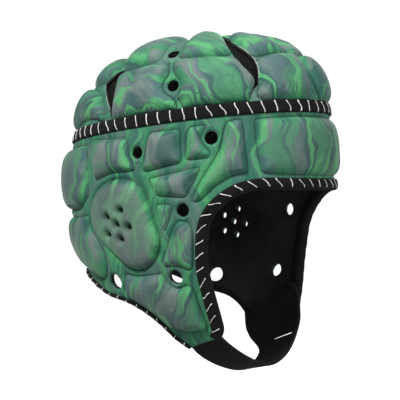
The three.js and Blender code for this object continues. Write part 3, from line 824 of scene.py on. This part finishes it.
shade = SLATE
for colour, shift, turn, across, along, detail, start, full, share in DYES:
    dye = ramp(ribbons(shift, turn, across, along, detail), start, full, share)
    shade = mixed(tree, dye, shade, colour)
# Pad tops painted grey, partly wear of the print and partly a painted sheen highlight; the low ground
# between pads tinted a more saturated green
shade = mixed(tree, spread(tree, sheen_and_wear, low=0.5, top=0.58), shade, SHEEN_GREY)
shade = mixed(tree, spread(tree, sheen_and_wear, high=0.5, bottom=0.4, top=0.0), shade, GROOVE)
# The knit's low places between its loops painted darker with the crease colour, as painted shade
shade = mixed(tree, spread(tree, loops, bottom=0.22, top=0.0), shade, CREASE)
# Painted shade in the creases, stronger in some patches than in others
fold_patch = spread(tree, ramp(cloud(tree, place, 34.0), 0.36, 0.62), bottom=0.5)
shade = mixed(tree, product(tree, ramp(creased, 0.1, 1.0, 0.95), fold_patch), shade, CREASE)
shade = mixed(tree, cut_raw, shade, CUT_EDGE)
normal = raised(tree, loops, 0.35, 0.0004)
normal = raised(tree, cloud(tree, place, 120.0, detail=4.0), 0.35, 0.0012, Normal=normal)

# Fine gathers that fan up the crown from the band
flat_parts = node(tree, "ShaderNodeSeparateXYZ", Vector=cloth_map).outputs
flat_turn = node(tree, "ShaderNodeMath", flat_parts["X"], flat_parts["Y"], operation="ARCTAN2")
flat_reach = node(tree, "ShaderNodeVectorMath", cloth_map, operation="LENGTH").outputs["Value"]
gather_noise = cloud(tree, cloth_map, 6.0)
gather_shift = spread(tree, gather_noise, top=40.0)
gather_sway = node(tree, "ShaderNodeMath", flat_turn.outputs[0], GATHERS, gather_shift,
                   operation="MULTIPLY_ADD")
gathers = node(tree, "ShaderNodeMath", gather_sway.outputs[0], operation="SINE").outputs[0]
gathers = product(tree, gathers, ramp(flat_reach, 0.9, 1.18))
gathers = product(tree, gathers, ramp(flat_reach, 1.24, 1.22))
gathers = product(tree, gathers, ramp(gather_noise, 0.35, 0.6))
normal = raised(tree, gathers, 0.55, 0.0006, Normal=normal)
settle(shader, Base_Color=shade, Normal=normal, Roughness=0.62, Specular_IOR_Level=0.3,
       Sheen_Weight=0.18, Sheen_Roughness=0.4, Sheen_Tint=(0.9, 0.92, 0.92, 1))

slit_loops = both_sides([cut_line(rows, CROWN_FLAT, SLIT_CORNER, COVER_STEP) for rows in SLITS.values()])
front_slits, rear_slits = slit_loops[0::2], slit_loops[1::2]
places, faces, lift, worn = cover(CROWN_FLAT, crown_edge(COVER_STEP, SEAM_GAP),
                                  CROWN_PADS, CROWN_PAD_LOOKS, crown_vents, slit_loops)
lift = hole_dip(CROWN_FLAT, places, lift, crown_vents, *CROWN_VENT_DIP)
lift = hole_dip(CROWN_FLAT, places, lift, front_slits, *FRONT_SLIT_DIP)
lift = hole_dip(CROWN_FLAT, places, lift, rear_slits, *REAR_SLIT_DIP)
for name, (first, last) in PALE_ROWS.items():
    for cut in both_sides([plan(through(SLITS[name][first:last]))]):
        near = np.min(np.linalg.norm(places[:, None] - cut[None], axis=2), axis=1)
        worn[:, 2] = np.maximum(worn[:, 2], np.clip(1.5 - near / PALE_WIDTH, 0, 1))
bm = bmesh.new()
_, rims = cloth_wall(bm, places, faces, on_head(places, lift), on_head(places, COVER_BACK), worn)
for rim in rims:
    rim.material_index = 1
lay_cloth_map(bm)
crown_cover = piece("crown_cover.pads", bm, [printed_cloth, lining_cloth])
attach(crown_cover, "root")
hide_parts("crown_shell",
            *[f"pad_{name}_{side}" for name in CROWN_PADS for side in ("right", "left")])


# The side cover: the same foam and printed cloth in one long panel round brow, cheeks and nape, glued
# over the lining and closed at the nape. Vents with raised collars and ear holes are cut through it.
COLLAR_LIFT = 0.6
COLLAR_MIDDLE = 1.7
COLLAR_WIDTH = 0.9
COLLAR_REACH = 16
# The crease round a collar: how far out, its width, and how dark its painted shade is
COLLAR_CREASE = (2.8, 0.5, 0.8)
SIDE_VENT_DIP = (1.2, -0.8)
EAR_HOLE_DIP = (2.8, 0.6)
COVER_EAR_POINTS = 16
FOREHEAD_PAD = [
    [32.4, 132.2], [20, 131.6], [10, 131.2], [-10, 131.2], [-20, 131.6], [-32.4, 132.2], [-31.8, 150],
    [-30, 167.2], [-19, 168.2], [-9, 168.5], [9, 168.5], [19, 168.2], [30, 167.2], [31.8, 150]]
SIDE_PADS = {
    "temple": [
        [44.3, 132.3], [37.3, 131.3], [36.3, 152], [35.3, 166.5], [43, 168], [49.3, 174], [56.3, 184],
        [60.5, 185], [56.3, 171.5], [50.3, 158], [46.8, 149], [45.8, 141]],
    "brow_side": [
        [62, 133.5], [53, 133], [54, 137.5], [55.7, 141], [55.4, 144.5], [53, 149], [51.3, 152],
        [51.8, 155.3], [62, 156.2], [63, 154.5], [63, 142]],
    "side_upper": [
        [83.5, 134], [66, 134], [65, 157.5], [86, 162], [88.3, 159.5], [86, 153], [85.5, 142.5]],
    "over_ear": [
        [124.3, 132.5], [98, 136], [97, 141], [96.5, 148.5], [93.5, 156.5], [91.5, 160], [98.5, 161],
        [106.5, 160.5], [113, 162.5], [118.5, 165.5], [120, 164.5], [122.5, 148.5], [124.5, 136]],
    "ear_front": [[84, 167], [55.5, 161], [63, 181.5], [78.5, 179.5], [79.5, 177.5], [82, 170.5]],
    "dart": [[79.5, 185], [69.8, 186], [71.5, 195.5], [74.5, 206], [78, 195.5]],
    "ear": EAR_PAD,
    "cheek_front": [
        [67.5, 196.5], [61, 198], [59.3, 207], [59.3, 230.5], [62, 232.5], [66.5, 229.3], [72, 229.3],
        [75.5, 230.5], [77, 228], [73.5, 216.5], [71, 207]],
    "jaw": [
        [103.5, 235.5], [95, 237.5], [82, 236], [77, 234.5], [75.3, 240.5], [68, 246.3], [62.5, 242.5],
        [59, 246], [56, 259.5], [50.5, 275.5], [62.5, 278], [78, 275.5], [86, 267.5], [94, 261],
        [103, 255], [107, 250.5], [105.5, 242]],
    "rear_upper": [
        [128.5, 135], [127, 150], [125.3, 166], [125.3, 176.5], [133, 187.5], [150, 187.5],
        [177.5, 186.5], [177.5, 137], [150, 135]],
    "rear_lower": [
        [126.3, 191.7], [135, 194], [152, 193.3], [177.5, 192.3], [177.5, 222], [155, 227], [138, 233],
        [127, 240], [119.5, 240], [117, 233], [116.3, 222], [120, 213], [125, 203]],
}
# Height, grey top (wear of the print and painted sheen) and low ground round a pad, as for the crown
SIDE_PAD_LOOKS = {
    "other": (4.2, 0.78, 0),
    "forehead": (3.4, 0.68, 0),
    "temple": (4.4, 0.78, 0),
    "brow_side": (3.4, 0.78, 0),
    "side_upper": (4.0, 0.78, 0),
    "ear_front": (3.6, 0.78, 0),
    "dart": (2.6, 0.78, 0),
    "ear": (3.8, 1.0, 3.8),
    "cheek_front": (3.2, 0.78, 0),
    "jaw": (3.8, 0.78, 0),
}

vents = both_sides(punched(SIDE_VENTS, SIDE_FLAT))
ear_holes = both_sides([round_hole(row, EAR_HOLE_RADIUS, COVER_EAR_POINTS, SIDE_FLAT) for row in ear_rows])
places, faces, lift, worn = cover(SIDE_FLAT, side_edge(COVER_STEP, SEAM_GAP),
                                  {"forehead": FOREHEAD_PAD, **SIDE_PADS}, SIDE_PAD_LOOKS,
                                  [*vents, *ear_holes], [])
lift = hole_dip(SIDE_FLAT, places, lift, vents, *SIDE_VENT_DIP)
lift = hole_dip(SIDE_FLAT, places, lift, ear_holes, *EAR_HOLE_DIP)
crease_out, crease_width, crease_dark = COLLAR_CREASE
for vent in vents:
    near = np.nonzero(np.linalg.norm(places - vent.mean(0), axis=1) < COLLAR_REACH)[0]
    out = depth_from(vent, places[near], SIDE_FLAT)
    bare_ground = np.clip(1 - 3 * worn[near, 1], 0, 1)
    lift[near] += COLLAR_LIFT * np.exp(-(((out - COLLAR_MIDDLE) / COLLAR_WIDTH) ** 2)) * bare_ground
    # Painted shade in the crease round the collar
    collar_shade = crease_dark * np.clip(1 - np.abs(out - crease_out) / crease_width, 0, 1)
    worn[near, 0] = np.maximum(worn[near, 0], collar_shade * bare_ground)
bm = bmesh.new()
on_plan = unrolled(places)
cloth_wall(bm, places, faces, on_head(on_plan, lift), on_head(on_plan, COVER_BACK), worn)
bmesh.ops.remove_doubles(bm, verts=bm.verts, dist=2e-5)
lay_cloth_map(bm)
side_cover = piece("side_cover.pads", bm, [printed_cloth, lining_cloth])
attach(side_cover, "root")
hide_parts("side_shell", "pad_forehead",
            *[f"pad_{name}_{side}" for name in SIDE_PADS for side in ("right", "left")])


# The crown band: black knit tape 9.3 mm wide, laid over the seam between crown and sides and sewn
# down along both edges by white thread that slants right across it.
BAND_STITCH = 9.6
BAND_SEWING = {"reach": (-4.8, 4.8), "slant": -2.0, "thick": 0.75, "loose": 0.8}
BAND_PUCKER = 0.3
BAND_STEP = 2.0
BAND_ROWS = 121
# Runs left free of stitches at both ends
BAND_ENDS = (2, 4)
TAPE_MAP = 1.5
THREAD_SIDES = 6
THREAD_STEPS = 8
THREAD_DARK = (0.55, 0.54, 0.52)
THREAD_LIGHT = (0.88, 0.87, 0.85)
# A stitch swells where it goes into the cloth: by how much, how far from its ends, and how wide
KNOT = (0.35, 0.12, 0.1)
tape_cloth = black_cloth("tape cloth", (0.004, 0.004, 0.0045), (0.01, 0.01, 0.011),
                         rough=0.85, rows=60.0, blotch=60.0, depth=0.8)


def tape_path(rows, step, closed=False):
    """A tape's line over the head: places, their run in millimetres, and the way out past the edge."""
    places = unrolled(spaced(rolled(rows), unrolled, step))
    points = face_point(places)
    run = np.concatenate([[0], np.cumsum(np.linalg.norm(np.diff(points, axis=0), axis=1))])
    along = np.gradient(points, axis=0)
    if closed:
        along[0] = along[-1] = points[1] - points[-2]
    outward = np.cross(face_frame(places)[2], along)
    return places, run, unit(outward)


def tape(path, section, pucker, pitch, closed=False):
    """A tape of one closed section [aside, lift], along a path, drawn in a little at its stitches."""
    places, run, outward = path
    ring = np.vstack([section, section[:1]])
    made = bmesh.new()
    bmesh.ops.create_grid(made, x_segments=len(ring) - 1, y_segments=len(places) - 1, size=1)
    flat_mark = made.verts.layers.float_vector.new("flat")
    columns = [round((v.co.x + 1) / 2 * (len(ring) - 1)) for v in made.verts]
    rows = [round((v.co.y + 1) / 2 * (len(places) - 1)) for v in made.verts]
    aside, lift = ring[columns].T
    way = run[rows]
    draw = pucker * np.sin(np.pi * way / pitch) ** 2 * np.clip(lift, 0, 1)
    moved = stepped(places[rows], outward[rows] * aside[:, None])
    for vert, point, s, w in zip(made.verts, on_head(moved, lift + draw), way, columns):
        vert.co = point
        vert[flat_mark] = (s, w * TAPE_MAP, 0)
    lay_cloth_map(made)
    bmesh.ops.remove_doubles(made, verts=made.verts, dist=1e-6)
    if not closed:
        bmesh.ops.holes_fill(made, edges=[e for e in made.edges if e.is_boundary], sides=0)
    bmesh.ops.recalc_face_normals(made, faces=made.faces)
    return made


def along_path(path, way):
    """Places on a path and the way out there, at runs in millimetres."""
    places, run, outward = path
    spots = np.column_stack([np.interp(way, run, places[:, k]) for k in (0, 1)])
    ways = np.column_stack([np.interp(way, run, outward[:, k]) for k in (0, 1, 2)])
    return spots, unit(ways)


thread_cotton, thread_tree, thread_shader = painted("white thread")
thread_place = node(thread_tree, "ShaderNodeTexCoord").outputs["Object"]
strands = cloud(thread_tree, thread_place, 900.0)
thread_tone = mixed(thread_tree, spread(thread_tree, strands, 0.35, 0.6), THREAD_DARK, THREAD_LIGHT)
thread_normal = raised(thread_tree, strands, 0.5, 0.0002)
settle(thread_shader, Base_Color=thread_tone, Normal=thread_normal, Roughness=0.7)


def sew(path, pitch, ends, top, reach, slant, thick, loose):
    """Stitches of white thread over a tape: each a bent thread from its inner edge to its outer one."""
    made = bmesh.new()
    swell, knot_place, knot_width = KNOT
    shift = random.Random(11)
    for way in np.arange(ends[0], path[1][-1] - ends[1], pitch):
        lean = slant * shift.uniform(1 - loose, 1 + loose)
        low, high = (end + shift.uniform(-0.3, 0.3) for end in reach)
        bend = shift.uniform(-0.5, 0.5) * loose * 2
        hook = shift.uniform(-0.3, 1.1) * loose
        width = thick * shift.uniform(0.85, 1.15)
        grid = bmesh.ops.create_grid(made, x_segments=THREAD_SIDES, y_segments=THREAD_STEPS, size=1)
        thread = grid["verts"]
        t = np.array([(v.co.y + 1) / 2 for v in thread])
        turn = np.array([v.co.x * np.pi for v in thread])
        round_off = np.clip(np.sin(np.pi * np.clip(t, 0.0, 1.0)) * 3.2, 0, 1) ** 0.5
        from_ends = (t - knot_place, t - (1 - knot_place))
        knots = 1 + swell * sum(np.exp(-(off / knot_width) ** 2) for off in from_ends)
        radius = width * 0.5 * round_off * knots
        line = way + lean * (t - 0.5) + bend * np.sin(np.pi * t) + hook * np.sin(2 * np.pi * t)
        line = line + radius * np.cos(turn)
        aside = low + (high - low) * t
        spots, out = along_path(path, line)
        height = top(aside) + 0.15 + 0.3 * np.sin(np.pi * t) + radius * np.sin(turn) * 0.8
        for vert, point in zip(thread, on_head(stepped(spots, out * aside[:, None]), height)):
            vert.co = point
    bmesh.ops.remove_doubles(made, verts=made.verts, dist=1e-6)
    bmesh.ops.recalc_face_normals(made, faces=made.faces)
    return made


band_rows = np.column_stack([np.linspace(0, 360, BAND_ROWS), np.full(BAND_ROWS, SEAM_REACH)])
band_path = tape_path(band_rows, BAND_STEP, closed=True)
band_section = np.array([
    [-4.6, 0.1], [-4.65, 0.7], [-4.0, 1.3], [-2.2, 1.55], [0, 1.65], [2.2, 1.55], [4.0, 1.3], [4.65, 0.7],
    [4.6, 0.1], [2.2, 0.35], [0, 0.4], [-2.2, 0.35]])
band_mesh = tape(band_path, band_section, BAND_PUCKER, BAND_STITCH, closed=True)
band = piece("crown_band.tape", band_mesh, [tape_cloth])
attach(band, "root")
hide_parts("crown_band")


def band_top(aside):
    """The height of the band above the head, at a place across it."""
    return np.interp(np.abs(aside), [0, 2.2, 4.0, 4.65, 4.9], [1.75, 1.65, 1.35, 0.7, 0.1])


band_sewn = sew(band_path, BAND_STITCH, BAND_ENDS, band_top, **BAND_SEWING)
band_thread = piece("crown_band.thread", band_sewn, [thread_cotton])
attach(band_thread, "root")


# The face binding: black knit tape folded over the raw edge round the face, from one cheek's tip over
# the brow to the other, and sewn through with white thread that slants over its outer leg.
FACE_STITCH = 9.5
FACE_SEWING = {"reach": (-6.3, 0.5), "slant": -4.4, "thick": 0.72, "loose": 0.6}
FACE_PUCKER = 0.35
FACE_ENDS = (9, 7)
BINDING_STEP = 1.8
face_rows = np.vstack([face_edge[::-1] * [-1, 1], face_edge[1:]])
face_path = tape_path(face_rows, BINDING_STEP)
face_section = np.array([
    [-6.3, 0.15], [-6.4, 0.75], [-5.6, 1.5], [-3.5, 1.9], [-1.0, 1.95], [0.9, 1.5], [2.0, 0.2], [2.3, -2.2],
    [2.0, -4.6], [0.9, -5.9], [-1.0, -6.3], [-3.5, -6.3], [-5.6, -5.9], [-6.2, -5.2], [-6.0, -4.7],
    [-3.5, -4.75], [0.3, -4.7], [0.9, -2.2], [0.3, 0.1], [-3.5, 0.2]])
face_mesh = tape(face_path, face_section, FACE_PUCKER, FACE_STITCH)
face_tape = piece("face_binding.tape", face_mesh, [tape_cloth])
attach(face_tape, "root")
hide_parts("face_binding")


def face_top(aside):
    """The height of the outer leg, at a place out from the edge."""
    return np.interp(aside, [-6.8, -6.3, -5.6, -3.5, -1, 0.9, 2.0], [0.1, 0.8, 1.55, 1.95, 2.0, 1.55, 0.2])


face_sewn = sew(face_path, FACE_STITCH, FACE_ENDS, face_top, **FACE_SEWING)
face_thread = piece("face_binding.thread", face_sewn, [thread_cotton])
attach(face_thread, "root")


# The neck binding: the same tape, folded narrower over the lower edge from cheek to cheek round the
# nape, with shorter stitches.
NECK_STITCH = 9.0
NECK_SEWING = {"reach": (-2.0, 0.5), "slant": -1.6, "thick": 0.45, "loose": 0.5}
NECK_PUCKER = 0.3
NECK_ENDS = (5, 4)
# How much narrower than the face binding it is, in from the edge and out past it
NECK_INWARD = 0.27
NECK_OUTWARD = 0.6
neck_rows = np.vstack([neck_edge, neck_edge[:-1][::-1] * [-1, 1] + [360, 0]])
neck_path = tape_path(neck_rows, BINDING_STEP)
neck_section = face_section.copy()
neck_section[:, 0] *= np.where(neck_section[:, 0] < 0, NECK_INWARD, NECK_OUTWARD)
neck_mesh = tape(neck_path, neck_section, NECK_PUCKER, NECK_STITCH)
neck_tape = piece("neck_binding.tape", neck_mesh, [tape_cloth])
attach(neck_tape, "root")
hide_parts("neck_binding")


def neck_top(aside):
    """The height of the outer leg, as for the face binding."""
    return face_top(aside / np.where(aside < 0, NECK_INWARD, NECK_OUTWARD))


neck_sewn = sew(neck_path, NECK_STITCH, NECK_ENDS, neck_top, **NECK_SEWING)
neck_thread = piece("neck_binding.thread", neck_sewn, [thread_cotton])
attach(neck_thread, "root")


# The chin strap: black laminated cloth, 2.4 mm thick, sewn inside the right cheek and led under the
# chin and up inside the left one, where it widens to a tab with a slot punched through it.
STRAP_ROWS = np.array([
    # place across, along and up, lean, width, splay
    [-52, -30, -192, -0.25, 22, 0],
    [-46.5, -30, -206, -0.28, 24, 0],
    [-38.5, -32, -220.5, -0.3, 27, 0],
    [-22, -42, -234, -0.33, 24, 0],
    [2, -48.5, -240.8, -0.2, 22, 0],
    [22, -49, -236, -0.12, 24, 0.03],
    [33, -48, -227.5, -0.22, 32, 0.08],
    [39.4, -44, -216, -0.26, 46, 0.09],
    [45, -37.5, -204.5, -0.2, 53, 0.11],
    [52.4, -29.4, -191.7, -0.15, 49.5, 0.12],
])
STRAP_HALF = 1.2
STRAP_STEP = 1.8
STRAP_POINTS = 90
END_POINTS = 10
# Shares of the length, and of the thickness there: it thins where it goes under the lining's edge
STRAP_THINNING = ([0, 0.12, 0.78, 1], [0.3, 1, 1, 0.15])
SLOT_PLACE = 0.72
SLOT_LENGTH = 19
SLOT_WIDTH = 2.4
SLOT_SHIFT = -6
SLOT_POINTS = 40


def strap_at(rows, t):
    """A smooth line through rows at shares t of the way, tighter where the rows are close."""
    ends = np.vstack([2 * rows[0] - rows[1], rows, 2 * rows[-1] - rows[-2]])
    gaps = np.sqrt(np.linalg.norm(np.diff(ends[:, :3], axis=0), axis=1))
    place = np.clip(t, 0, 1) * (len(rows) - 1)
    i = np.minimum(place.astype(int), len(rows) - 2)
    s = (place - i)[:, None]
    a, b, c, d = (ends[i + k] for k in range(4))
    before, span, after = (gaps[i + k][:, None] for k in range(3))
    leave = span * ((b - a) / before - (c - a) / (before + span) + (c - b) / span)
    arrive = span * ((c - b) / span - (d - b) / (span + after) + (d - c) / after)
    return curved(b, c, leave, arrive, s)


def strap_point(t, aside, lift):
    """Points of the strap, in metres, at shares of its length, off its middle line and its mid face."""
    here = strap_at(STRAP_ROWS, t)
    along = unit(strap_at(STRAP_ROWS, t + 0.004)[:, :3] - strap_at(STRAP_ROWS, t - 0.004)[:, :3])
    across = np.column_stack([here[:, 5], np.ones(len(t)), here[:, 3]])
    across = unit(across - along * (across * along).sum(1)[:, None])
    up = np.cross(along, across)
    height = np.broadcast_to(lift, len(t))[:, None]
    return (here[:, :3] + across * aside[:, None] + up * height) * MM


strap_fine = strap_at(STRAP_ROWS, np.linspace(0, 1, 200))[:, :3]
STRAP_LENGTH = np.linalg.norm(np.diff(strap_fine, axis=0), axis=1).sum()
strap_cloth = black_cloth("strap cloth", (0.009, 0.009, 0.0095), (0.018, 0.018, 0.019),
                          rough=0.9, rows=50.0, blotch=50.0, depth=0.5)


def strap_face(flat):
    return strap_point(flat[:, 0] / STRAP_LENGTH, flat[:, 1], 0)


strap_shares = np.linspace(0, 1, STRAP_POINTS)
strap_halves = strap_at(STRAP_ROWS, strap_shares)[:, 4] / 2
strap_runs = strap_shares * STRAP_LENGTH
end_sides = np.linspace(-1, 1, END_POINTS + 2)[1:-1]
strap_edge = np.vstack([
    np.column_stack([strap_runs, -strap_halves]),
    np.column_stack([np.full(END_POINTS, STRAP_LENGTH), end_sides * strap_halves[-1]]),
    np.column_stack([strap_runs, strap_halves])[::-1],
    np.column_stack([np.zeros(END_POINTS), -end_sides * strap_halves[0]]),
])
slot_turn = np.linspace(0, 2 * np.pi, SLOT_POINTS, endpoint=False)
slot_end = (SLOT_LENGTH - SLOT_WIDTH) / 2 * np.sign(np.sin(slot_turn + 1e-6))
slot = SLOT_WIDTH / 2 * np.column_stack([np.cos(slot_turn), np.sin(slot_turn)])
slot[:, 1] += slot_end
slot += [SLOT_PLACE * STRAP_LENGTH, SLOT_SHIFT]
shares, faces = cut_cloth(strap_face, strap_edge, [slot], [], [], STRAP_STEP)
run = shares[:, 0] / STRAP_LENGTH
bm = bmesh.new()
thin = STRAP_HALF * np.interp(run, *STRAP_THINNING)
cloth_wall(bm, shares, faces, strap_point(run, shares[:, 1], thin), strap_point(run, shares[:, 1], -thin))
lay_cloth_map(bm)
strap = piece("chin_strap.cloth", bm, [strap_cloth])
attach(strap, "root")
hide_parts("chin_strap")
